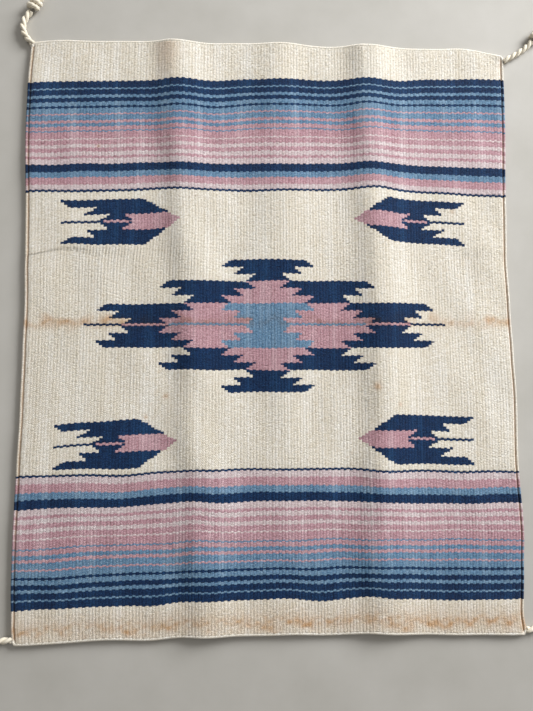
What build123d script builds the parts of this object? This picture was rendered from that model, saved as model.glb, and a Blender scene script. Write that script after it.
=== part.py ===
"""Woven saddle pad: a weft-faced tapestry saddle blanket with four corner cords.

Millimetres, +Z up. The cloth lies flat with its underside on Z = 0 and the origin under its
centre. The head end is at +Y and the foot end at -Y. The cloth folds in half along the X axis.

Widths across the cloth are counted in ribs and heights along it in shots. A rib is the ridge
over one warp, and a shot is one pass of weft. The weft covers both faces, and passes down
between the warps in webs. Only every fourth web is modelled, so each channel holds four warps.
"""
from build123d import *
import math
import os

# Cloth.
RIB_PITCH = 4.7625
RIB_COUNT = 160
SHOT = 1.15
SKIN = 2.2
CHANNEL = 3.1
WEB = 1.2
WARPS_PER_CHANNEL = 4
SELVAGE_RIBS = 2
SELVAGE_WALL = 2.4
WARP = 2.5
CLEARANCE = 0.3
END_CORD = 7.0
FOLD_GAP = 0.3

# Corner cords and the knots at their ends.
CORD = 9.5
KNOT = 14.0
KNOT_LENGTH = 17.0
TUFT_LENGTH = 11.0
TUFT_NECK = 7.0
TUFT_END = 12.0
FLOOR_GAP = 0.05
CORNER_CUT = 5.0
ARC_SHARE = 0.45

# Pattern, in shots along the cloth from its centre line outwards.
FIELD_SHOTS = 188
BORDER_SHOTS = 47
LINE_SHOTS = 2
BANDS = [
    ("navy_line", LINE_SHOTS),
    ("pale_pink_bar", 8),
    ("pink_bar", 10),
    ("light_blue_bar", 8),
    ("navy_bar", 11),
    ("pale_pink_stripes", 8),
    ("pink_stripes", 4),
    ("pale_pink_stripes", 6),
    ("pink_stripes", 6),
    ("pale_pink_stripes", 5),
    ("pink_stripes", 7),
    ("pale_pink_stripes", 2),
    ("pink_stripes", 10),
    ("light_blue_stripes", 2),
    ("pink_stripes", 6),
    ("light_blue_stripes", 5),
    ("pink_stripes", 4),
    ("light_blue_stripes", 8),
    ("pink_stripes", 2),
    ("light_blue_stripes", 8),
    ("navy_stripes", 3),
    ("light_blue_stripes", 6),
    ("navy_stripes", 6),
    ("light_blue_stripes", 4),
    ("navy_stripes", 8),
    ("light_blue_stripes", 2),
    ("navy_stripes", 10),
    ("cream_border", BORDER_SHOTS),
]

# Motifs, in ribs from the pattern's own centre and in shots.
PATTERN_SHIFT = -2
TOOTH_SHOTS = 10
TEETH = 3
TOOTH_STEP = 4
BLOCK_STEP = 20
BLOCKS = 3
OUTER_TIP = 47.5
OUTER_SLANT = 3.5
INNER_TIP = 32
INNER_SLANT = 3
HEART_TIP = 7.5
CENTRE_LINE_END = 59
MOTIF_CENTRE = 148
MOTIF_FRONT_TIP = 29
MOTIF_FRONT_TOP = 41
MOTIF_BACK_TIP = 56
MOTIF_BACK_SLANT = 4
MOTIF_BACK_END = 67.5
MOTIF_CORE_NOTCH = 44.5
MOTIF_CORE_TIP = 48
MOTIF_CORE_LINE_END = 54

THICKNESS = 2 * SKIN + CHANNEL
WIDTH = RIB_PITCH * RIB_COUNT
BLOCK_SHOTS = TOOTH_SHOTS * TEETH
WOVEN_SHOTS = FIELD_SHOTS + sum(shots for _, shots in BANDS)
WOVEN_END = WOVEN_SHOTS * SHOT
HALF_LENGTH = WOVEN_END + END_CORD
CORD_HEIGHT = CORD / 2 + FLOOR_GAP
KNOT_HEIGHT = KNOT / 2 + FLOOR_GAP

# Each corner cord's route: the direction it leaves in, in degrees from +X, and its points as
# steps from the point where it leaves. The points were chosen one by one.
ROUTES = {
    ("head", "left"): (135, [(-11.3, 11.3), (-16.4, 26.2), (-14.0, 41.8), (-4.6, 54.4)]),
    ("head", "right"): (0, [(14.5, 0.0), (28.9, 5.8), (42.0, 14.9), (53.0, 27.6)]),
    ("foot", "left"): (180, [(-14.0, 0.0), (-29.0, -5.4), (-44.6, -6.2), (-59.6, -1.6)]),
    ("foot", "right"): (0, [(14.0, 0.0), (28.6, 6.0), (44.2, 8.2), (60.0, 6.0)]),
}
ENDS = {"head": 1, "foot": -1}
SIDES = {"left": -1, "right": 1}


def octagon(width, height):
    """A rectangle with cut corners, which is a regular octagon where the sizes are equal."""
    cut = min(width, height) * (1 - math.sqrt(0.5))
    x = width / 2
    y = height / 2
    return Polygon(
        (x - cut, -y), (x, cut - y), (x, y - cut), (x - cut, y),
        (cut - x, y), (-x, y - cut), (-x, cut - y), (cut - x, -y), align=None)


def along_y(section, x, y0, y1):
    """Extrude an XZ section from y0 to y1, centred at x and at the cloth's middle height."""
    plane = Plane(origin=(x, max(y0, y1), THICKNESS / 2), x_dir=(1, 0, 0), z_dir=(0, -1, 0))
    return extrude(plane * section, abs(y1 - y0))


def along_x(section, y, x0, x1):
    """Extrude a YZ section from x0 to x1, centred at y and at the cloth's middle height."""
    plane = Plane(origin=(x0, y, THICKNESS / 2), x_dir=(0, 1, 0), z_dir=(1, 0, 0))
    return extrude(plane * section, x1 - x0)


def rib_x(rib):
    """The X of a rib boundary, counted from the left edge."""
    return rib * RIB_PITCH - WIDTH / 2


def channel_spans():
    """The X spans of the channels inside the weft, from left to right, with their warp count."""
    first = SELVAGE_RIBS
    last = RIB_COUNT - SELVAGE_RIBS
    spans = [(SELVAGE_WALL - WIDTH / 2, rib_x(first) - WEB / 2, 0)]
    for rib in range(first, last, WARPS_PER_CHANNEL):
        held = min(WARPS_PER_CHANNEL, last - rib)
        spans.append((rib_x(rib) + WEB / 2, rib_x(rib + held) - WEB / 2, held))
    spans.append((rib_x(last) + WEB / 2, WIDTH / 2 - SELVAGE_WALL, 0))
    return spans


def weft(face):
    """The weft over one region of the cloth, hollow where the warps run."""
    box = face.bounding_box()
    middle = (box.min.Y + box.max.Y) / 2
    depth = box.max.Y - box.min.Y + 2 * SHOT
    channels = []
    for x0, x1, _ in channel_spans():
        if x1 > box.min.X and x0 < box.max.X:
            place = Pos((x0 + x1) / 2, middle, THICKNESS / 2)
            channels.append(place * Box(x1 - x0, depth, CHANNEL))
    return extrude(face, THICKNESS, dir=(0, 0, 1)) - channels


def upright(corners):
    """A face over these corners with its normal up, whichever way round they are listed."""
    ahead = corners[1:] + corners[:1]
    doubled_area = sum(x0 * y1 - x1 * y0 for (x0, y0), (x1, y1) in zip(corners, ahead))
    return Polygon(*(corners if doubled_area > 0 else corners[::-1]), align=None)


def band(end, shot0, shot1):
    """A full-width band between two shots, clear of the fold."""
    y0 = max(shot0 * SHOT, FOLD_GAP / 2)
    y1 = shot1 * SHOT
    return Pos(0, ENDS[end] * (y0 + y1) / 2) * Rectangle(WIDTH, y1 - y0)


def outline(points, end, side=1, centre=0):
    """A face from (rib, shot) points measured from the pattern's centre line."""
    corners = []
    for rib, shot in points:
        x = (PATTERN_SHIFT + side * rib) * RIB_PITCH
        y = ENDS[end] * (centre + shot) * SHOT
        corners.append((x, y))
    return upright(corners)


def teeth(tip, step, slant, base):
    """Sawtooth points going up from shot base: each tooth starts at its tip and slants back."""
    points = []
    for tooth in range(TEETH):
        low = base + tooth * TOOTH_SHOTS
        points.append((tip + tooth * step, low))
        points.append((tip + tooth * step + slant, low + TOOTH_SHOTS))
    return points


def stepped(tip, step, slant, blocks):
    """Both sides of a stepped diamond half, made of one row of teeth for each block."""
    right = []
    for block in range(blocks):
        right += teeth(tip - block * BLOCK_STEP, step, slant, block * BLOCK_SHOTS)
    left = [(-rib, shot) for rib, shot in reversed(right)]
    return right + left


def medallion(end):
    """The navy, pink and light blue faces of one half of the centre medallion."""
    whole = outline(stepped(OUTER_TIP, TOOTH_STEP, -OUTER_SLANT, BLOCKS), end)
    inside = outline(stepped(INNER_TIP, -TOOTH_STEP, INNER_SLANT, BLOCKS - 1), end)
    heart = outline(stepped(HEART_TIP, TOOTH_STEP, -INNER_SLANT, 1), end)
    return {"navy": whole - inside, "pink": inside - heart, "light_blue": heart}


def centre_lines(end):
    """The thin line on the centre line, in its three colours."""
    stretches = {
        "navy": (OUTER_TIP, CENTRE_LINE_END),
        "pink": (INNER_TIP, OUTER_TIP),
        "light_blue": (HEART_TIP, INNER_TIP),
    }
    lines = {}
    for colour, (near, far) in stretches.items():
        corners = [(near, 0), (far, 0), (far, LINE_SHOTS), (near, LINE_SHOTS)]
        lines[colour] = outline(corners, end) + outline(corners, end, side=-1)
    return lines


def corner_motif(end, side):
    """The navy and pink faces of one corner motif, which points inwards."""
    back = teeth(MOTIF_BACK_TIP, TOOTH_STEP, -MOTIF_BACK_SLANT, 0)
    back[-1] = (MOTIF_BACK_END, BLOCK_SHOTS)
    upper = [(MOTIF_FRONT_TIP, 0)] + back + [(MOTIF_FRONT_TOP, BLOCK_SHOTS)]
    front_slope = (MOTIF_FRONT_TOP - MOTIF_FRONT_TIP) / BLOCK_SHOTS
    core_front = MOTIF_FRONT_TIP + front_slope * TOOTH_SHOTS
    core = [
        (MOTIF_FRONT_TIP, 0),
        (MOTIF_CORE_NOTCH, 0),
        (MOTIF_CORE_TIP, TOOTH_SHOTS),
        (core_front, TOOTH_SHOTS),
    ]
    half_line = LINE_SHOTS / 2

    def both_ways(points):
        """The face over these points and its mirror image below the motif's centre."""
        mirrored = [(rib, -shot) for rib, shot in points]
        return (outline(points, end, side, MOTIF_CENTRE)
                + outline(mirrored, end, side, MOTIF_CENTRE))

    def line(near, far):
        """A thin line along the motif's centre."""
        corners = [(near, -half_line), (far, -half_line), (far, half_line), (near, half_line)]
        return outline(corners, end, side, MOTIF_CENTRE)

    pink = both_ways(core) + line(MOTIF_CORE_NOTCH, MOTIF_CORE_LINE_END)
    navy = both_ways(upper) + line(MOTIF_CORE_LINE_END, MOTIF_BACK_END) - pink
    return {"navy": navy, "pink": pink}


def field_nodes(end):
    """The cream field of one half and everything woven into it."""
    field = band(end, 0, FIELD_SHOTS)
    faces = {}
    for colour, face in medallion(end).items():
        faces[f"{end}_medallion_{colour}"] = face & field
    if end == "head":
        for colour, line in centre_lines(end).items():
            for name in faces:
                faces[name] = faces[name] - line
            faces[f"centre_line_{colour}"] = line & field
    for side_name, side in SIDES.items():
        for colour, face in corner_motif(end, side).items():
            faces[f"{end}_{side_name}_motif_{colour}"] = face
    cream = field
    for face in faces.values():
        cream = cream - face
    faces[f"{end}_cream_field"] = cream
    return {name: weft(face) for name, face in faces.items()}


def band_nodes(end):
    """The bars, stripes and border of one end, with bands of one name grouped in one node."""
    groups = {}
    shot = FIELD_SHOTS
    for name, shots in BANDS:
        groups.setdefault(f"{end}_{name}", []).append(weft(band(end, shot, shot + shots)))
        shot += shots
    return groups


def warp_nodes(end):
    """The warps and the two doubled selvage cords inside one half."""
    y0 = ENDS[end] * FOLD_GAP / 2
    y1 = ENDS[end] * WOVEN_END
    yarn = octagon(WARP, min(WARP, CHANNEL - 2 * CLEARANCE))
    warps = []
    spans = channel_spans()
    rib = SELVAGE_RIBS
    for _, _, held in spans:
        for _ in range(held):
            warps.append(along_y(yarn, rib_x(rib + 0.5), y0, y1))
            rib += 1
    nodes = {f"{end}_warps": warps}
    for side_name, (x0, x1, _) in (("left", spans[0]), ("right", spans[-1])):
        section = octagon(x1 - x0 - 2 * CLEARANCE, CHANNEL - 2 * CLEARANCE)
        nodes[f"{end}_{side_name}_selvage_cord"] = along_y(section, (x0 + x1) / 2, y0, y1)
    return nodes


def corner_exit(end, side_name):
    """The point where a corner cord leaves, on the end cord's end or on its cut corner."""
    angle, _ = ROUTES[end, side_name]
    cut = CORNER_CUT / 2 if angle % 90 else 0
    x = SIDES[side_name] * (WIDTH / 2 - cut)
    y = ENDS[end] * (HALF_LENGTH - (cut if cut else END_CORD / 2))
    return Vector(x, y, CORD_HEIGHT)


def end_cord(end):
    """The cord that the warps turn round, cut square to a corner cord that leaves diagonally."""
    y = ENDS[end] * (WOVEN_END + END_CORD / 2)
    cord = along_x(octagon(END_CORD, END_CORD), y, -WIDTH / 2, WIDTH / 2)
    for side_name in SIDES:
        angle, _ = ROUTES[end, side_name]
        if angle % 90:
            heading = Vector(1, 0, 0).rotate(Axis.Z, angle)
            outside = Plane(origin=corner_exit(end, side_name), z_dir=heading)
            cord = cord - outside * Pos(0, 0, END_CORD) * Box(*[2 * END_CORD] * 3)
    return cord


def cord_nodes(end, side_name):
    """One corner cord and its knot with the frayed tuft."""
    _, steps = ROUTES[end, side_name]
    start = corner_exit(end, side_name)
    points = [start] + [start + Vector(x, y, 0) for x, y in steps]
    runs = [after - before for before, after in zip(points, points[1:])]
    radii = []
    for before, after in zip(runs, runs[1:]):
        half_turn = math.radians(before.get_angle(after)) / 2
        radii.append(ARC_SHARE * min(before.length, after.length) / math.tan(half_turn))
    path = FilletPolyline(*points, radius=radii)
    section = Plane(origin=path @ 0, z_dir=path % 0) * Circle(CORD / 2)
    tube = sweep(section, path=path)
    rounded = [round(radius, 1) for radius in radii]
    print(f"{end}_{side_name} cord: length {path.length:.1f}, arc radii {rounded}")
    ratio = tube.volume / (math.pi * CORD ** 2 / 4 * path.length)
    print(f"{end}_{side_name} cord: volume over section times length {ratio:.4f}")

    # The profile runs along the knot's axis: a round knot, a narrow neck, then the tuft.
    waist = KNOT_LENGTH
    tip = KNOT_LENGTH + TUFT_LENGTH
    shoulder = KNOT / 2 - CLEARANCE
    with_curve = Line((0, 0), (CORD / 2, 0))
    with_curve += ThreePointArc((CORD / 2, 0), (shoulder, waist / 2), (TUFT_NECK / 2, waist))
    with_curve += Line((TUFT_NECK / 2, waist), (TUFT_END / 2, tip))
    with_curve += Line((TUFT_END / 2, tip), (0, tip))
    with_curve += Line((0, tip), (0, 0))
    profile = make_face(with_curve)
    knot = revolve(Plane.XZ * profile, Axis.Z)
    heading = path % 1
    seat = Vector((path @ 1).X, (path @ 1).Y, KNOT_HEIGHT)
    return {
        f"{end}_{side_name}_corner_cord": tube,
        f"{end}_{side_name}_corner_knot": Plane(origin=seat, z_dir=heading) * knot,
    }


def solids_of(shape):
    """Every solid in a shape or in a list of shapes."""
    shapes = shape if isinstance(shape, list) else [shape]
    found = []
    for item in shapes:
        found += item.solids()
    return found


def main():
    nodes = {}
    for end in ENDS:
        nodes.update(band_nodes(end))
        nodes.update(field_nodes(end))
        nodes.update(warp_nodes(end))
        nodes[f"{end}_end_cord"] = end_cord(end)
        for side_name in SIDES:
            nodes.update(cord_nodes(end, side_name))
    os.makedirs("parts", exist_ok=True)
    for name, shape in nodes.items():
        solids = solids_of(shape)
        body = solids[0] if len(solids) == 1 else Compound(children=solids)
        export_step(body, f"parts/{name}.step", write_pcurves=False)
    print(f"{len(nodes)} nodes, cloth {WIDTH:.1f} x {2 * HALF_LENGTH:.1f} x {THICKNESS:.1f}")


main()
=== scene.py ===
"""Saddle blanket: the woven cloth, its cords and its yarns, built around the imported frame.

Metres, in the frame's own axes: +Y is the head end, +Z is up, and the cloth lies on Z = 0.
A rib is the ridge over one warp. A shot is one pass of weft, which shows on every other rib, so
each bead of yarn on a rib is two shots tall and starts one shot away from its neighbours'.
"""
import bpy
import math
import numpy as np
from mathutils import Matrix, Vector
from mathutils.bvhtree import BVHTree


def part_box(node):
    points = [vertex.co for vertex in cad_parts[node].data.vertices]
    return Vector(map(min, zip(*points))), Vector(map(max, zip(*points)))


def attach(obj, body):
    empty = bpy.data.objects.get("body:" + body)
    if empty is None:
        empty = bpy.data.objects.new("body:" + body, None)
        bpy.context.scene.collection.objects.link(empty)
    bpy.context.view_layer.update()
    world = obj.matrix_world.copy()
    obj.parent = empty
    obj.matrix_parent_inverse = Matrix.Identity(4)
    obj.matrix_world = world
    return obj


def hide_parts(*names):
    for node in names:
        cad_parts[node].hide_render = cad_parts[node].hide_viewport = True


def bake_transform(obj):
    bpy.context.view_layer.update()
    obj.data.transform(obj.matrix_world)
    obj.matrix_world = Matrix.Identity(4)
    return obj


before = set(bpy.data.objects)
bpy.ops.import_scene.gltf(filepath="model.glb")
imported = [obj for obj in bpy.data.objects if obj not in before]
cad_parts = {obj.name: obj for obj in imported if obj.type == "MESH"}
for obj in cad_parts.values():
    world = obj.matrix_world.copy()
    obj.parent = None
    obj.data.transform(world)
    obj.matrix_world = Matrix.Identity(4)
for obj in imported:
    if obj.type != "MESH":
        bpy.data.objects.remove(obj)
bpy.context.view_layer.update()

# The cloth takes its size from the frame, whose pattern is drawn on these ribs and shots.
RIBS = 160
SHOT = 0.00115
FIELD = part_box("head_cream_field")
WOVEN_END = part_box("head_warps")[1].y
HALF_WIDTH = FIELD[1].x
THICKNESS = FIELD[1].z
RIB = 2 * HALF_WIDTH / RIBS
HALF_SHOTS = round(WOVEN_END / SHOT)
SHOTS = 2 * HALF_SHOTS

# How near the fold a piece has to reach to ride on neither half.
FOLD_REACH = 0.024

# Relief of the weave: depths below the cloth's two faces, and how much they and the rows vary.
BEAD_END = 0.0008
GROOVE = 0.0010
SELVAGE_GROOVE = 0.0031
EDGE_GROOVE = 0.0030
BEAD_JITTER = 0.00030
RIB_JITTER = 0.00012
LINE_JITTER = 0.00016

# Cords and yarns: their thickness, and the length in which their strands turn once.
CORD = 0.0095
CORD_TURN = 0.024
END_CORD = 0.007
END_CORD_TURN = 0.012
KNOT_CORD = 0.008
WARP = 0.0025
FLOOR_GAP = 0.00005
CORD_Z = CORD / 2 + FLOOR_GAP

rng = np.random.default_rng(7)


# ---------------------------------------------------------------- the lay of the cloth

# How far each line across the cloth lies from its straight place, in millimetres: the line's
# own y, the shift at the middle, the rise from left to right over a metre, and the bow.
LINES = [
    (-462, -2.5, -8, 62),
    (-401, -9.8, 0, 62),
    (-262, -8.3, 0, 52),
    (-217, -5.0, 0, 52),
    (-203, -7.8, 2, 56),
    (-136, -3.0, 9, 105),
    (-104, -2.5, 2, 50),
    (-69, -3.0, -8, 10),
    (-35, -3.2, -2, 5),
    (35, -2.8, 5, 10),
    (69, -2.2, 2, 5),
    (104, -2.7, 0, 20),
    (136, -3.0, 14, 125),
    (205, -4.0, 5, 62),
    (216, -3.8, 5, 55),
    (401, -5.2, 34, 18),
    (462, -2.5, 8, 0),
]

# Places where the lines sag or rise by themselves: x, y, half width, half length and rise.
SAGS = [
    (-102, 330, 40, 130, -3.5),
    (95, 420, 60, 60, -3.0),
    (210, 420, 45, 60, -4.5),
    (-10, 230, 60, 60, -3.0),
    (145, 240, 35, 60, 3.0),
    (-318, 122, 38, 45, 9.0),
    (-205, 125, 30, 40, -2.8),
    (-290, 200, 40, 32, -2.6),
    (172, 205, 25, 35, 3.2),
    (-225, -225, 40, 40, -4.5),
    (-122, -300, 25, 120, 3.0),
    (165, -225, 35, 40, -3.5),
    (300, -225, 90, 50, -2.5),
    (240, -262, 60, 40, -3.0),
    (-180, -410, 28, 45, -5.0),
    (70, -410, 35, 45, -4.0),
    (147, -410, 22, 50, 3.5),
    (270, -410, 70, 45, -4.0),
]

# How far the left and right edges bulge out at each y, in millimetres.
EDGES = [
    (-462, 0, -1),
    (-421, 2, -4),
    (-360, 4, -1),
    (-303, 4, 2),
    (-200, 2, -2),
    (-110, 0, 0),
    (-40, -1, -2),
    (30, -2, -4),
    (104, 0, -6),
    (200, 2, -4),
    (330, 5, 1),
    (400, 4, 2),
    (462, 1, 3),
]

# Soft ridges that run along the cloth: each one's x and height at the foot, middle and head, and
# its half width on the left and right, in millimetres.
RIDGES = [
    ((-104, -130, -156), (6.0, 6.4, 8.6), 27, 46),
    ((20, 20, 12), (1.5, 2.6, 5.0), 42, 42),
    ((158, 168, 150), (6.5, 8.5, 9.0), 30, 48),
]


def sag(x, y):
    """How far the listed places move a point along the cloth."""
    total = np.zeros(np.broadcast(x, y).shape)
    for at_x, at_y, wide, long, rise in SAGS:
        away = ((x * 1000 - at_x) / wide) ** 2 + ((y * 1000 - at_y) / long) ** 2
        total += rise / 1000 * np.exp(-away)
    return total


def smooth_noise(x, y, seed, scale):
    """Gentle bumps about `scale` metres across, from a few sines, between about -1 and 1."""
    local = np.random.default_rng(seed)
    total = np.zeros(np.broadcast(x, y).shape)
    for _ in range(6):
        angle = local.uniform(0, 2 * math.pi)
        wave = 2 * math.pi / (scale * local.uniform(0.7, 1.5))
        phase = local.uniform(0, 2 * math.pi)
        total += np.sin((x * math.cos(angle) + y * math.sin(angle)) * wave + phase)
    return total / 3


def along(y, stations, column):
    """One column of a list of stations, taken at y, which runs smoothly between stations."""
    places = np.array([row[0] for row in stations]) / 1000
    values = np.array([row[column] for row in stations], float)
    step = np.clip(np.searchsorted(places, y) - 1, 0, len(places) - 2)
    t = np.clip((y - places[step]) / (places[step + 1] - places[step]), 0, 1)
    return values[step] + (values[step + 1] - values[step]) * t * t * (3 - 2 * t)


# The highest that the underside stands, and the small waves between the ridges.
RIDGE_LIMIT = 0.0094
WAVE = 0.0005


def ridge_height(x, y):
    """How high the cloth's underside stands off the floor."""
    height = np.zeros(np.broadcast(x, y).shape)
    part = (y + WOVEN_END) / WOVEN_END
    for places, heights, left, right in RIDGES:
        crest = np.interp(part, (0, 1, 2), places) / 1000
        high = np.interp(part, (0, 1, 2), heights) / 1000
        away = (x - crest) * 1000
        reach = np.where(away < 0, left, right)
        height += high * np.exp(-((away / reach) ** 2))
    return np.minimum(height + WAVE * (1 + smooth_noise(x, y, 3, 0.09)), RIDGE_LIMIT)


# How far each corner is pulled in along the length by its cord, and from how far in, in mm.
CORNERS = {
    (-1, 1): (5.5, 60),
    (1, 1): (12, 80),
    (-1, -1): (2, 40),
    (1, -1): (1, 40),
}
# A further pull on the outermost rib, in metres.
CORNER_PULL = 0.007

# The head left motif lies a little to the right: the shift, its middle and its reach.
MOTIF_SHIFT = 0.005
MOTIF_MIDDLE = (-0.235, 0.165)
MOTIF_REACH = (0.11, 0.06)


def corner_dip(x, y):
    """How far a point near a corner is drawn in towards the middle of the cloth."""
    dip = np.zeros(np.broadcast(x, y).shape)
    for (side, end), (depth, reach) in CORNERS.items():
        near_x = np.clip((side * x - HALF_WIDTH) * 1000 / reach + 1, 0, 1)
        near_y = np.clip((end * y - WOVEN_END) / 0.05 + 1, 0, 1)
        edge = np.clip((side * x - HALF_WIDTH) / RIB + 1, 0, 1)
        pull = near_y * near_y * (depth / 1000 * near_x ** 1.6) + near_y ** 6 * CORNER_PULL * edge
        dip -= end * pull
    return dip


def lay(x, y, z):
    """Where a point of the flat cloth lies: shifted, skewed and raised as real cloth is."""
    x, y, z = (np.asarray(value, float) for value in (x, y, z))
    across = x / HALF_WIDTH
    bulge = np.where(x < 0, along(y, EDGES, 1), along(y, EDGES, 2)) / 1000
    motif_x = (x - MOTIF_MIDDLE[0]) / MOTIF_REACH[0]
    motif_y = (y - MOTIF_MIDDLE[1]) / MOTIF_REACH[1]
    motif = np.exp(-motif_x ** 2 - motif_y ** 2)
    new_x = x + across * np.abs(across) * bulge + MOTIF_SHIFT * motif
    shift = along(y, LINES, 1) + along(y, LINES, 2) * x - along(y, LINES, 3) * x * x
    wander = 0.0009 * smooth_noise(x, y, 11, 0.11) * np.clip(np.abs(y) / 0.05, 0, 1)
    new_y = y + shift / 1000 + wander + corner_dip(x, y) + sag(x, y)
    return np.stack([new_x, new_y, z + ridge_height(x, y)], -1)


# ---------------------------------------------------------------- materials


def shader(name):
    """A new node material, its node tree and its principled shader."""
    material = bpy.data.materials.new(name)
    material.use_nodes = True
    tree = material.node_tree
    return material, tree, tree.nodes["Principled BSDF"]


def node(tree, kind, **settings):
    """Add a node and set its attributes and, for keys starting with in_, its inputs."""
    made = tree.nodes.new(kind)
    for key, value in settings.items():
        if key.startswith("in_"):
            made.inputs[key[3:]].default_value = value
        else:
            setattr(made, key, value)
    return made


def noise(tree, coords, scale, stretch=(1, 1, 1), detail=3.0, roughness=0.55):
    """Noise in object coordinates. Where `stretch` is small the pattern is long on that axis."""
    mapping = node(tree, "ShaderNodeMapping")
    mapping.inputs["Scale"].default_value = stretch
    tree.links.new(coords, mapping.inputs["Vector"])
    made = node(tree, "ShaderNodeTexNoise", in_Scale=scale, in_Detail=detail,
                in_Roughness=roughness)
    tree.links.new(mapping.outputs[0], made.inputs["Vector"])
    return made.outputs["Fac"]


def ramp(tree, value, low, high, out_low=0.0, out_high=1.0):
    """Map a value between low and high to out_low and out_high."""
    made = node(tree, "ShaderNodeMapRange")
    for key, number in (("From Min", low), ("From Max", high),
                        ("To Min", out_low), ("To Max", out_high)):
        made.inputs[key].default_value = number
    tree.links.new(value, made.inputs["Value"])
    return made.outputs[0]


def mixed(tree, factor, first, second, blend="MIX"):
    """Mix two colours; each is a colour or a socket."""
    made = node(tree, "ShaderNodeMix", data_type="RGBA", blend_type=blend)
    for index, value in ((0, factor), (6, first), (7, second)):
        if isinstance(value, bpy.types.NodeSocket):
            tree.links.new(value, made.inputs[index])
        else:
            made.inputs[index].default_value = value
    return made.outputs[2]


def attribute(tree, name):
    """A number stored on the mesh."""
    return node(tree, "ShaderNodeAttribute", attribute_name=name).outputs["Fac"]


def colour(red, green, blue):
    """A linear colour from sRGB values of 0 to 255."""
    def linear(value):
        value /= 255
        return value / 12.92 if value <= 0.04045 else ((value + 0.055) / 1.055) ** 2.4
    return (linear(red), linear(green), linear(blue), 1.0)


def wool(name, light, dark, deep, pale, dirt_and_shade):
    """Woven wool: heathered beads, painted shade in the grooves, faint streaks along the ribs,
    and stains with some painted shade.
    """
    material, tree, principled = shader(name)
    links = tree.links
    coords = node(tree, "ShaderNodeTexCoord").outputs["Object"]
    bead = attribute(tree, "bead")
    groove = attribute(tree, "groove")
    streak = noise(tree, coords, 60, (1, 0.07, 0), 3)
    patch = noise(tree, coords, 7, (1, 1, 0), 4)
    fibre = noise(tree, coords, 1900, (1.2, 0.45, 1), 4, 0.7)
    dark_fleck = noise(tree, coords, 420, (0.8, 1.1, 0), 3, 0.7)
    pale_fleck = noise(tree, coords, 520, (0.9, 1.0, 0), 3, 0.7)
    base = mixed(tree, ramp(tree, bead, 0, 1), dark, light)
    base = mixed(tree, ramp(tree, dark_fleck, 0.45, 0.66, 0, 0.62), base, deep)
    base = mixed(tree, ramp(tree, pale_fleck, 0.48, 0.66, 0, 0.65), base, pale)
    base = mixed(tree, ramp(tree, streak, 0.30, 0.55, 0.40, 0), base, dark)
    base = mixed(tree, ramp(tree, streak, 0.50, 0.72, 0, 0.45), base, pale)
    base = mixed(tree, ramp(tree, patch, 0.45, 0.75, 0, 0.35), base, dark)
    base = mixed(tree, ramp(tree, fibre, 0.3, 0.75, 0.0, 0.30), base, deep)
    # Painted shade: darker down in the grooves and a little at the ends of the beads.
    base = mixed(tree, ramp(tree, groove, 0.2, 1.0, 0, 0.34), base, deep)
    # Stains, and the painted shade of the selvage grooves and the head's left ridge.
    base = mixed(tree, attribute(tree, "stain"), base, dirt_and_shade)
    links.new(base, principled.inputs["Base Color"])
    principled.inputs["Roughness"].default_value = 0.93
    principled.inputs["Specular IOR Level"].default_value = 0.18
    principled.inputs["Sheen Weight"].default_value = 0.1
    principled.inputs["Sheen Roughness"].default_value = 0.55
    ply = node(tree, "ShaderNodeTexWave", in_Scale=260.0, in_Distortion=2.5, in_Detail=2.0)
    ply.bands_direction = "DIAGONAL"
    links.new(coords, ply.inputs["Vector"])
    height = node(tree, "ShaderNodeMath", operation="ADD")
    links.new(fibre, height.inputs[0])
    links.new(ramp(tree, ply.outputs["Fac"], 0, 1, 0, 0.5), height.inputs[1])
    bump = node(tree, "ShaderNodeBump", in_Strength=0.8, in_Distance=0.0007)
    links.new(height.outputs[0], bump.inputs["Height"])
    links.new(bump.outputs[0], principled.inputs["Normal"])
    return material


def twisted_yarn(name, light, dark, deep):
    """Off-white cord yarn, with fine fibres along it and painted shade between the plies."""
    material, tree, principled = shader(name)
    coords = node(tree, "ShaderNodeTexCoord").outputs["Object"]
    fibre = noise(tree, coords, 1500, (1, 1, 1), 4, 0.7)
    patch = noise(tree, coords, 90, (1, 1, 1), 3)
    base = mixed(tree, ramp(tree, fibre, 0.3, 0.7), dark, light)
    base = mixed(tree, ramp(tree, patch, 0.45, 0.7, 0, 0.45), base, dark)
    # Painted shade between the plies, from the groove number.
    base = mixed(tree, ramp(tree, attribute(tree, "groove"), 0.3, 1.0, 0, 0.75), base, deep)
    tree.links.new(base, principled.inputs["Base Color"])
    principled.inputs["Roughness"].default_value = 0.9
    principled.inputs["Specular IOR Level"].default_value = 0.2
    principled.inputs["Sheen Weight"].default_value = 0.2
    bump = node(tree, "ShaderNodeBump", in_Strength=0.5, in_Distance=0.0004)
    tree.links.new(fibre, bump.inputs["Height"])
    tree.links.new(bump.outputs[0], principled.inputs["Normal"])
    return material


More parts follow.
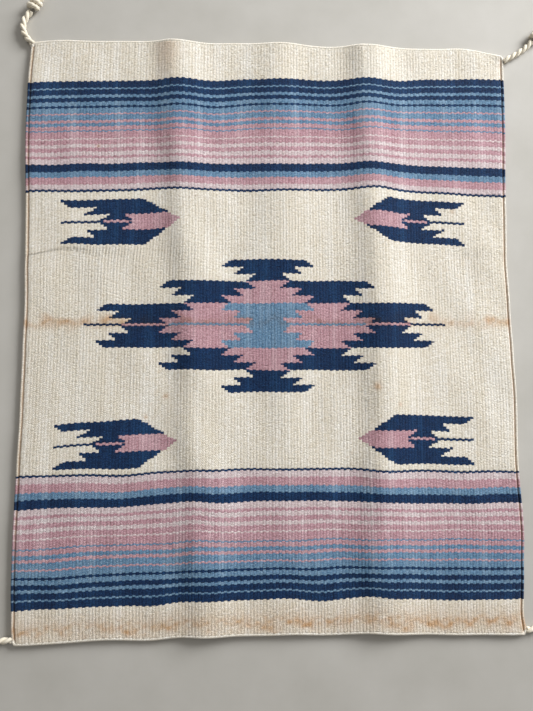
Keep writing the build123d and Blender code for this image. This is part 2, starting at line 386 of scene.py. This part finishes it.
# The brown of the stains, which also paints shade in the selvage grooves and on the head's left
# ridge.
DIRT_AND_SHADE = colour(184, 136, 82)
MATERIALS = {
    "cream": wool("wool_cream", colour(252, 249, 243), colour(228, 220, 204),
                  colour(184, 170, 144), colour(255, 255, 253), DIRT_AND_SHADE),
    "navy": wool("wool_navy", colour(17, 58, 106), colour(7, 35, 72),
                 colour(2, 10, 28), colour(42, 88, 134), colour(28, 24, 24)),
    "light_blue": wool("wool_light_blue", colour(132, 170, 202), colour(92, 132, 164),
                       colour(46, 74, 102), colour(178, 202, 220), colour(96, 84, 66)),
    "pink": wool("wool_pink", colour(220, 178, 186), colour(188, 144, 153),
                 colour(122, 82, 90), colour(244, 218, 224), colour(136, 90, 62)),
    "pale_pink": wool("wool_pale_pink", colour(240, 228, 229), colour(214, 194, 197),
                      colour(146, 122, 124), colour(253, 250, 249), DIRT_AND_SHADE),
    "cord": twisted_yarn("yarn_cord", colour(240, 234, 220), colour(212, 200, 176),
                         colour(118, 100, 72)),
    "warp": twisted_yarn("yarn_warp", colour(230, 222, 202), colour(206, 194, 168),
                         colour(130, 112, 84)),
}


# ---------------------------------------------------------------- mesh helpers


def make_mesh(name, points, faces, material, numbers=None, sharp=None):
    """A mesh object from points and quads, with the numbers that its points store.

    An edge stays creased where `sharp` is true at both of its ends.
    """
    mesh = bpy.data.meshes.new(name)
    mesh.from_pydata(points.tolist(), [], faces.tolist())
    mesh.shade_smooth()
    for key, values in (numbers or {}).items():
        made = mesh.attributes.new(key, "FLOAT", "POINT")
        made.data.foreach_set("value", np.asarray(values, np.float32))
    if sharp is not None:
        ends = np.empty(2 * len(mesh.edges), np.int64)
        mesh.edges.foreach_get("vertices", ends)
        first, second = sharp[ends[0::2]], sharp[ends[1::2]]
        crease = mesh.attributes.new("sharp_edge", "BOOLEAN", "EDGE")
        crease.data.foreach_set("value", first & second)
    mesh.materials.append(MATERIALS[material])
    piece = bpy.data.objects.new(name, mesh)
    bpy.context.scene.collection.objects.link(piece)
    return piece


def bake_map(piece):
    """A plain map from above that fills the square, for the baked textures."""
    mesh = piece.data
    points = np.empty(3 * len(mesh.vertices))
    mesh.vertices.foreach_get("co", points)
    flat = points.reshape(-1, 3)[:, :2]
    low = flat.min(0)
    span = flat.max(0) - low
    corners = np.empty(len(mesh.loops), np.int64)
    mesh.loops.foreach_get("vertex_index", corners)
    layer = mesh.uv_layers.new(name="OFBake")
    layer.data.foreach_set("uv", ((flat - low) / span)[corners].ravel())


def carry(piece, body):
    """Ride on a body, or ride on neither if the piece reaches the fold."""
    low, high = piece.bound_box[0][1], piece.bound_box[6][1]
    if high > -FOLD_REACH and low < FOLD_REACH:
        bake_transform(piece)
    else:
        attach(piece, body)


def body_of(name):
    """The body that a CAD node belongs to."""
    return "foot_half" if name.startswith("foot") else "head_half"


# ---------------------------------------------------------------- the weave

WEFT = sorted(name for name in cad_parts
              if not any(word in name for word in ("warps", "cord", "knot")))
COLOURS = ("pale_pink", "light_blue", "navy", "pink", "cream")


def colour_of(name):
    """The wool that a weft node is woven from."""
    return next(word for word in COLOURS if word in name)


def woven_nodes():
    """For every rib and shot, the number of the weft node whose colour shows there."""
    points, faces, owner = [], [], []
    for number, name in enumerate(WEFT):
        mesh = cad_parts[name].data
        base = len(points)
        points += [vertex.co.copy() for vertex in mesh.vertices]
        for polygon in mesh.polygons:
            if polygon.normal.z > 0.9 and polygon.center.z > THICKNESS * 0.9:
                faces.append([base + index for index in polygon.vertices])
                owner.append(number)
    tree = BVHTree.FromPolygons(points, faces)
    above = THICKNESS + 0.01
    shown = np.zeros((RIBS, SHOTS), np.int32)
    for rib in range(RIBS):
        x = (rib + 0.5) * RIB - HALF_WIDTH
        for shot in range(rib % 2, SHOTS, 2):
            y = (shot + 0.5) * SHOT - WOVEN_END
            hit = tree.ray_cast(Vector((x, y, above)), Vector((0, 0, -1)))[2]
            if hit is None:
                hit = tree.find_nearest(Vector((x, y, THICKNESS)))[2]
            shown[rib, shot:shot + 2] = owner[hit]
        if rib % 2:
            shown[rib, 0] = shown[rib, 1]
    # Where a line or a motif is one bead tall, it gains a shot, because the relief narrows it.
    fine = [number for number, name in enumerate(WEFT) if "_line" in name or "motif" in name]
    for row in shown:
        ends = np.flatnonzero(np.diff(row)) + 1
        for begin, stop in zip(ends[:-1], ends[1:]):
            if stop - begin == 2 and row[begin] in fine:
                row[stop] = row[begin]
    return shown


# Small rust-brown spots: x, y and radius in millimetres, and depth.
STAIN_SPOTS = [
    (-164, -106, 4, 0.5),
    (158, -94, 6, 0.6),
    (-194, -133, 3, 0.5),
    (193, -120, 3, 0.5),
    (290, 190, 3, 0.4),
    (-271, 292, 2.5, 0.6),
]

# Painted shade in the deep groove beside each selvage, added to the number that also carries the
# stains.
SELVAGE_SHADE = 0.55


def stain_at(x, y):
    """Brown marks, from 0 to 1: along the fold, across the foot border and a few small spots, and
    a painted shadow down the shaded side of the left ridge in the head border.
    """
    wobble = smooth_noise(x, y, 21, 0.035)
    small = smooth_noise(x, y, 22, 0.012)
    crease = np.exp(-(((y - 0.006 - 0.004 * wobble) / 0.009) ** 2))
    left_part = np.clip((-x - 0.03) / 0.28, 0, 1) + 0.45 * np.clip((x - 0.02) / 0.3, 0, 1)
    crease *= np.clip(0.18 + 0.30 * left_part + 0.22 * wobble + 0.12 * small, 0, 0.7)
    foot = np.exp(-(((y + 0.436 + 0.005 * wobble) / 0.012) ** 2))
    foot *= np.clip(0.34 + 0.3 * x + 0.20 * wobble + 0.16 * small, 0, 0.7)
    # Painted shadow: a brown streak down the shaded left slope of the left ridge, in the head
    # border.
    head = np.exp(-(((x + 0.168) / 0.017) ** 2)) * np.clip((y - 0.385) / 0.05, 0, 1) * 0.30
    border = 0.13 * np.clip((-y - 0.395) / 0.02, 0, 1)
    stain = crease + foot + head + border + 0.05 * np.clip(small * wobble, 0, 1)
    for spot_x, spot_y, size, depth in STAIN_SPOTS:
        away = np.hypot(x - spot_x / 1000, y - spot_y / 1000) * 1000 / size
        stain = stain + depth * np.exp(-(away ** 2))
    return np.clip(stain, 0, 0.8)


def lattice():
    """The cloth's points, two columns for each rib and one row for each shot.

    Returns their x and y, their depth below the face, how deep in a groove they are from 0 to 1,
    and which of them an edge stays creased between.
    """
    columns = 2 * RIBS + 1
    rows = SHOTS + 1
    col = np.arange(columns)
    row = np.arange(rows)
    x = np.repeat((col * RIB / 2 - HALF_WIDTH)[:, None], rows, 1)
    y = np.repeat((row * SHOT - WOVEN_END)[None, :], columns, 0)
    crest = (col % 2 == 1)[:, None]
    rib = col // 2
    middle = ((rib[:, None] + row[None, :]) % 2 == 1) & crest
    depth = np.where(middle, 0.0, np.where(crest, BEAD_END, GROOVE))
    jitter = rng.normal(0, 1, (columns, rows))
    depth = depth + BEAD_JITTER * np.abs(jitter) * np.where(crest, 1, 0.4)
    rib_depth = np.repeat(rng.normal(0, RIB_JITTER, RIBS + 1), 2)[:columns]
    depth = depth + np.abs(rib_depth)[:, None] * crest
    for column in (2, columns - 3):
        depth[column] = SELVAGE_GROOVE
    for column in (0, columns - 1):
        depth[column] = EDGE_GROOVE
    y = y + LINE_JITTER * rng.normal(0, 1, (columns, rows)) * (np.abs(y) > SHOT)
    x = x + 0.00010 * smooth_noise(x, y * 0.4, 31, 0.02) * ~crest
    # How deep in a groove each point is, from 0 to 1, which the wool turns into painted shade.
    groove = np.where(middle, 0.0, np.where(crest, 0.42, 1.0))
    return x, y, depth, groove, ~middle


def bead_shades(columns, rows):
    """How light each point of the lattice is, about 0 to 1: one value for each bead."""
    value = rng.normal(0.5, 0.34, (RIBS, SHOTS + 2)).clip(0, 1)
    streak = rng.normal(0, 0.10, (RIBS, 1))
    rib = np.minimum(np.arange(columns) // 2, RIBS - 1)
    start = (np.arange(rows)[None, :] + rib[:, None]) // 2
    return value[rib[:, None], start] + streak[rib]


def region_faces(mine, rows, size):
    """The faces of a closed slab over the cells in `mine`: top, underside and walls.

    The underside's points have the top's numbers plus `size`.
    """
    cells = np.argwhere(mine)
    cell = cells[:, 0] * rows + cells[:, 1]
    top = np.stack([cell, cell + rows, cell + rows + 1, cell + 1], 1)
    padded = np.pad(mine, 1)
    sides = (
        (padded[:-2, 1:-1], 0, 1),
        (padded[2:, 1:-1], rows + 1, rows),
        (padded[1:-1, :-2], rows, 0),
        (padded[1:-1, 2:], 1, rows + 1),
    )
    walls = []
    for neighbour, first, second in sides:
        edge = np.argwhere(mine & ~neighbour)
        corner = edge[:, 0] * rows + edge[:, 1]
        one = corner + first
        two = corner + second
        walls.append(np.stack([one, two, two + size, one + size], 1))
    return np.concatenate([top, top[:, ::-1] + size, *walls])


def weave():
    """One closed piece for each weft node, cut from the whole lattice bead by bead."""
    shown = woven_nodes()
    x, y, depth, groove, creased = lattice()
    columns, rows = x.shape
    size = columns * rows
    both_sides = [lay(x, y, THICKNESS - depth), lay(x, y, depth)]
    all_points = np.concatenate([side.reshape(-1, 3) for side in both_sides])
    bead = bead_shades(columns, rows)
    stain = stain_at(x, y)
    # Painted shade down the deep groove beside each selvage.
    selvage = [2, columns - 3]
    stain[selvage] = np.clip(stain[selvage] + SELVAGE_SHADE, 0, 0.9)
    owner = np.repeat(shown, 2, 0)
    pieces = {}
    for number, name in enumerate(WEFT):
        faces = region_faces(owner == number, rows, size)
        used, packed = np.unique(faces, return_inverse=True)
        flat = used % size
        numbers = {
            "bead": bead.ravel()[flat],
            "groove": groove.ravel()[flat],
            "stain": stain.ravel()[flat],
        }
        piece = make_mesh(f"{name}_weave", all_points[used], packed.reshape(faces.shape),
                          colour_of(name), numbers, creased.ravel()[flat])
        bake_map(piece)
        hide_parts(name)
        pieces[name] = piece
    return pieces


# ---------------------------------------------------------------- yarns and cords


def cross_directions(path):
    """The directions to the side of a path and up from it, at each of its points."""
    ahead = np.gradient(path, axis=0)
    ahead /= np.linalg.norm(ahead, axis=1)[:, None]
    side = np.cross(ahead, (0, 0, 1))
    side /= np.linalg.norm(side, axis=1)[:, None]
    return side, np.cross(side, ahead)


def tube_rings(path, radius, sides):
    """Rings of points around a path. The radius is one number, or one for each point."""
    path = np.asarray(path, float)
    side, up = cross_directions(path)
    turn = np.linspace(0, 2 * math.pi, sides, endpoint=False)
    radius = np.broadcast_to(np.asarray(radius, float), (len(path),))
    ring = (np.cos(turn)[None, :, None] * side[:, None, :]
            + np.sin(turn)[None, :, None] * up[:, None, :])
    return path[:, None, :] + ring * radius[:, None, None]


def tube_faces(count, sides, offset):
    """The quads of a tube with an even number of sides, each end closed by a strip of quads."""
    ring = np.arange(sides)
    ahead = (ring + 1) % sides
    base = (np.arange(count - 1) * sides)[:, None]
    quads = np.stack([base + ring, base + ahead, base + sides + ahead, base + sides + ring], -1)
    faces = quads.reshape(-1, 4).tolist()
    half = sides // 2
    for start, turned in ((0, True), ((count - 1) * sides, False)):
        for step in range(half - 1):
            quad = [start + step, start + step + 1, start + sides - 2 - step,
                    start + (sides - 1 - step) % sides]
            faces.append(quad[::-1] if turned else quad)
    return [[index + offset for index in face] for face in faces]


def tubes(name, paths, radius, sides, material, groove=0.3):
    """Many closed tubes in one piece."""
    points, faces = [], []
    for path in paths:
        faces += tube_faces(len(path), sides, sum(len(part) for part in points))
        points.append(tube_rings(path, radius, sides).reshape(-1, 3))
    points = np.concatenate(points)
    numbers = {"groove": np.full(len(points), groove)}
    return make_mesh(name, points, np.array(faces), material, numbers)


def inner_yarns():
    """The warps and the selvage cords inside the weft, which follow the cloth."""
    for end, sign in (("head", 1), ("foot", -1)):
        y = np.linspace(0.00015, WOVEN_END, 40) * sign
        paths = []
        for rib in range(2, RIBS - 2):
            x = np.full_like(y, (rib + 0.5) * RIB - HALF_WIDTH)
            paths.append(lay(x, y, np.full_like(y, THICKNESS / 2)))
        warps = tubes(f"{end}_warp_yarns", paths, WARP / 2, 4, "warp")
        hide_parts(f"{end}_warps")
        carry(warps, f"{end}_half")
        for side in ("left", "right"):
            middle = (HALF_WIDTH - RIB) * (-1 if side == "left" else 1)
            pair = [lay(np.full_like(y, middle + step), y, np.full_like(y, THICKNESS / 2))
                    for step in (-RIB / 2, RIB / 2)]
            cord = tubes(f"{end}_{side}_selvage_yarn", pair, WARP / 2, 6, "warp")
            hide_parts(f"{end}_{side}_selvage_cord")
            carry(cord, f"{end}_half")


def run_along(line):
    """How far along a line each of its points is."""
    steps = np.linalg.norm(np.diff(line, axis=0), axis=1)
    return np.concatenate([[0], np.cumsum(steps)])


def strands(path, radius, count, pitch, fullness):
    """The strands of a twisted cord: a list of centre lines and the radius of one strand.

    `fullness` is a strand's thickness as a share of the cord's.
    """
    side, up = cross_directions(path)
    run = run_along(path)
    strand = radius * fullness
    out = radius - strand
    lines = []
    for index in range(count):
        turn = 2 * math.pi * (run / pitch + index / count)
        lines.append(path + out * (np.cos(turn)[:, None] * side + np.sin(turn)[:, None] * up))
    return lines, strand


def twisted(name, path, radius, count, pitch, material, fullness):
    """A twisted cord as one piece, with painted shade where its strands meet."""
    lines, strand = strands(path, radius, count, pitch, fullness)
    sides = 12
    points, faces, groove = [], [], []
    for line in lines:
        rings = tube_rings(line, strand, sides)
        base = sum(len(part) for part in points)
        faces += tube_faces(len(line), sides, base)
        away = np.linalg.norm(rings - path[:, None, :], axis=2)
        # The groove number rises towards the cord's middle, where the strands meet, for painted
        # shade.
        groove.append(np.clip(1.15 - away / radius * 1.15, 0, 1).ravel())
        points.append(rings.reshape(-1, 3))
    points = np.concatenate(points)
    numbers = {"groove": np.concatenate(groove), "bead": np.full(len(points), 0.3)}
    return make_mesh(name, points, np.array(faces), material, numbers)


def spline_points(name, points, resolution=14):
    """Points along the smooth curve that these control points shape."""
    curve = bpy.data.curves.new(name, "CURVE")
    curve.dimensions = "3D"
    spline = curve.splines.new("NURBS")
    spline.points.add(len(points) - 1)
    for made, point in zip(spline.points, points):
        made.co = (*point, 1)
    spline.order_u = 3
    spline.use_endpoint_u = True
    spline.resolution_u = resolution
    holder = bpy.data.objects.new(name, curve)
    bpy.context.scene.collection.objects.link(holder)
    mesh = bpy.data.meshes.new_from_object(holder)
    line = np.array([vertex.co for vertex in mesh.vertices])
    bpy.data.objects.remove(holder)
    return line


def resample(line, step):
    """The same line with points about `step` apart, and its length."""
    run = run_along(line)
    places = np.linspace(0, run[-1], max(4, round(run[-1] / step)))
    return np.stack([np.interp(places, run, line[:, axis]) for axis in range(3)], 1), run[-1]


# Each corner cord's points as steps from where it leaves, in millimetres.
ROUTES = {
    ("head", "left"): [(-11.3, 11.3), (-16.4, 26.2), (-14.0, 41.8), (-4.6, 54.4)],
    ("head", "right"): [(13.0, 6.5), (27.0, 15.0), (40.0, 24.0), (50.0, 35.5)],
    ("foot", "left"): [(-14.0, 0.0), (-29.0, -5.4), (-44.6, -6.2), (-59.6, -1.6)],
    ("foot", "right"): [(14.0, 0.0), (28.6, 6.0), (44.2, 8.2), (60.0, 6.0)],
}
CORNER_CUT = 0.005

# The knots: their radius, how far over the floor they stand and how far they overlap the cord.
KNOT_RADIUS = 0.0068
KNOT_LIFT = 0.0009
KNOT_OVERLAP = 0.003

# The frayed tufts: how many yarns, how low their middles may lie and their radius on the way.
TUFT_SEED = 9
TUFT_YARNS = 26
TUFT_FLOOR = 0.0009
TUFT_RADII = [0.0009, 0.0009, 0.0008, 0.0008, 0.0007, 0.0006, 0.0003]


def corner_exit(end, side):
    """The point where a corner cord leaves the cloth."""
    low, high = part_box(f"{end}_end_cord")
    sign_x = -1 if side == "left" else 1
    sign_y = 1 if end == "head" else -1
    far_y = high.y if end == "head" else low.y
    if (end, side) == ("head", "left"):
        return Vector((sign_x * (HALF_WIDTH - CORNER_CUT / 2), far_y - CORNER_CUT / 2, CORD_Z))
    return Vector((sign_x * HALF_WIDTH, far_y - sign_y * END_CORD / 2, CORD_Z))


def knot_path(seat, heading, size):
    """An overhand knot's loop around the cord's end."""
    side = np.array([-heading[1], heading[0], 0.0])
    up = np.array([0, 0, 1.0])
    turn = np.linspace(-0.6, 2 * math.pi * 1.55, 46)
    spread = size * 0.48
    forward = size * 0.55 + size * 0.95 * (turn + 0.6) / turn[-1]
    return (seat + np.outer(forward, heading) + np.outer(np.cos(turn) * spread, side)
            + np.outer(np.sin(turn) * spread * 0.5, up))


def tuft_strands(seat, heading, size):
    """Frayed ends that fan out of a knot, as one path for each yarn."""
    local = np.random.default_rng(TUFT_SEED)
    side = np.array([-heading[1], heading[0], 0.0])
    t = np.linspace(0, 1, len(TUFT_RADII))[:, None]
    lines = []
    for _ in range(TUFT_YARNS):
        spread = local.uniform(-0.75, 0.75)
        lift = local.uniform(-0.45, 0.35)
        reach = size * local.uniform(1.2, 1.9)
        start = seat + side * local.uniform(-0.35, 0.35) * size
        start = start + np.array([0, 0, local.uniform(-0.35, 0.35) * size])
        bend = side * local.uniform(-0.3, 0.3) * size
        line = (start + heading * reach * t + side * spread * size * t ** 1.5
                + bend * np.sin(t * math.pi) + np.array([0, 0, lift * size]) * t)
        line[:, 2] = np.maximum(line[:, 2], TUFT_FLOOR)
        lines.append(line)
    return lines


def corner_cords():
    """The four twisted corner cords, each with its knot and frayed tuft."""
    for (end, side), steps in ROUTES.items():
        exit_point = Vector(lay(*corner_exit(end, side)))
        exit_point.z = CORD_Z
        points = [exit_point] + [exit_point + Vector((x / 1000, y / 1000, 0)) for x, y in steps]
        line = spline_points(f"{end}_{side}_route", points)
        path, length = resample(line, 0.0011)
        name = f"{end}_{side}_corner"
        cord = twisted(f"{name}_rope", path, CORD / 2, 2, CORD_TURN, "cord", 0.6)
        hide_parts(f"{name}_cord")
        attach(cord, f"{end}_half")
        heading = path[-1] - path[-3]
        heading /= np.linalg.norm(heading)
        size = KNOT_RADIUS * 2
        seat = np.array([path[-1][0], path[-1][1], KNOT_RADIUS + KNOT_LIFT])
        seat -= heading * KNOT_OVERLAP
        loop = knot_path(seat, heading, size)
        lines, strand = strands(loop, KNOT_CORD / 2, 2, CORD_TURN / 2, 0.62)
        knot = tubes(f"{name}_knot_rope", lines, strand, 12, "cord", 0.1)
        middle = seat + heading * size * 1.35
        yarns = tuft_strands(middle, heading, size * 0.62)
        fray = tubes(f"{name}_fray", yarns, TUFT_RADII, 5, "cord", 0.2)
        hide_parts(f"{name}_knot")
        for piece in (knot, fray):
            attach(piece, f"{end}_half")


def end_cords():
    """The twisted cord along each end, which the warps turn round."""
    for end, sign in (("head", 1), ("foot", -1)):
        x = np.linspace(-HALF_WIDTH + 0.0012, HALF_WIDTH - 0.0012, 640)
        y = np.full_like(x, sign * (WOVEN_END + END_CORD * 0.26))
        path = lay(x, y, np.full_like(x, THICKNESS / 2))
        radius = END_CORD * 0.45
        cord = twisted(f"{end}_end_rope", path, radius, 3, END_CORD_TURN, "cream", 0.8)
        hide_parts(f"{end}_end_cord")
        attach(cord, f"{end}_half")


# ---------------------------------------------------------------- build

cloth = weave()
for name, piece in cloth.items():
    carry(piece, body_of(name))
inner_yarns()
end_cords()
corner_cords()


# ---------------------------------------------------------------- floor, light and camera


def floor():
    """A plain pale floor."""
    bpy.ops.mesh.primitive_plane_add(size=8, location=(0, 0, -0.0002))
    plane = bpy.context.object
    plane.name = "floor"
    material, tree, principled = shader("floor_pale")
    coords = node(tree, "ShaderNodeTexCoord").outputs["Object"]
    grain = noise(tree, coords, 9, (1, 1, 1), 6)
    base = mixed(tree, ramp(tree, grain, 0.3, 0.7), colour(176, 173, 166), colour(186, 183, 177))
    tree.links.new(base, principled.inputs["Base Color"])
    principled.inputs["Roughness"].default_value = 0.9
    plane.data.materials.append(material)


def area_light(name, place, target, size, power, tint):
    """A soft rectangular light that faces a target."""
    data = bpy.data.lights.new(name, "AREA")
    data.shape = "RECTANGLE"
    data.size, data.size_y = size
    data.energy = power
    data.spread = math.radians(110)
    data.color = tint
    light = bpy.data.objects.new(name, data)
    light.location = place
    light.rotation_euler = (Vector(target) - Vector(place)).to_track_quat("-Z", "Y").to_euler()
    bpy.context.scene.collection.objects.link(light)


def lights():
    """Soft daylight from the right and head end, with an even fill."""
    bpy.context.scene.view_settings.view_transform = "Standard"
    world = bpy.data.worlds.new("studio")
    world.use_nodes = True
    background = world.node_tree.nodes["Background"]
    background.inputs["Color"].default_value = (1.0, 0.97, 0.92, 1)
    background.inputs["Strength"].default_value = 0.26
    bpy.context.scene.world = world
    area_light("key", (2.5, 2.0, 1.4), (0, 0, 0), (1.8, 1.4), 84, (0.98, 0.99, 1.0))
    area_light("top", (-0.4, 1.2, 2.6), (0, 0, 0), (2.4, 2.4), 5, (1.0, 1.0, 1.0))


# The camera's place, its turn from looking straight down in degrees, and its lens in millimetres
# for a frame 36 mm tall.
CAMERA_PLACE = (-0.0561, -0.1185, 0.8232)
CAMERA_TURN = (4.89, -3.07, -0.32)
CAMERA_LENS = 27.04


def camera():
    """A phone's wide view from above, a little towards the foot end."""
    data = bpy.data.cameras.new("photo_view")
    data.sensor_fit = "VERTICAL"
    data.sensor_height = 36
    data.lens = CAMERA_LENS
    holder = bpy.data.objects.new("photo_view", data)
    holder.location = CAMERA_PLACE
    holder.rotation_euler = [math.radians(angle) for angle in CAMERA_TURN]
    bpy.context.scene.collection.objects.link(holder)
    bpy.context.scene.camera = holder


floor()
lights()
camera()
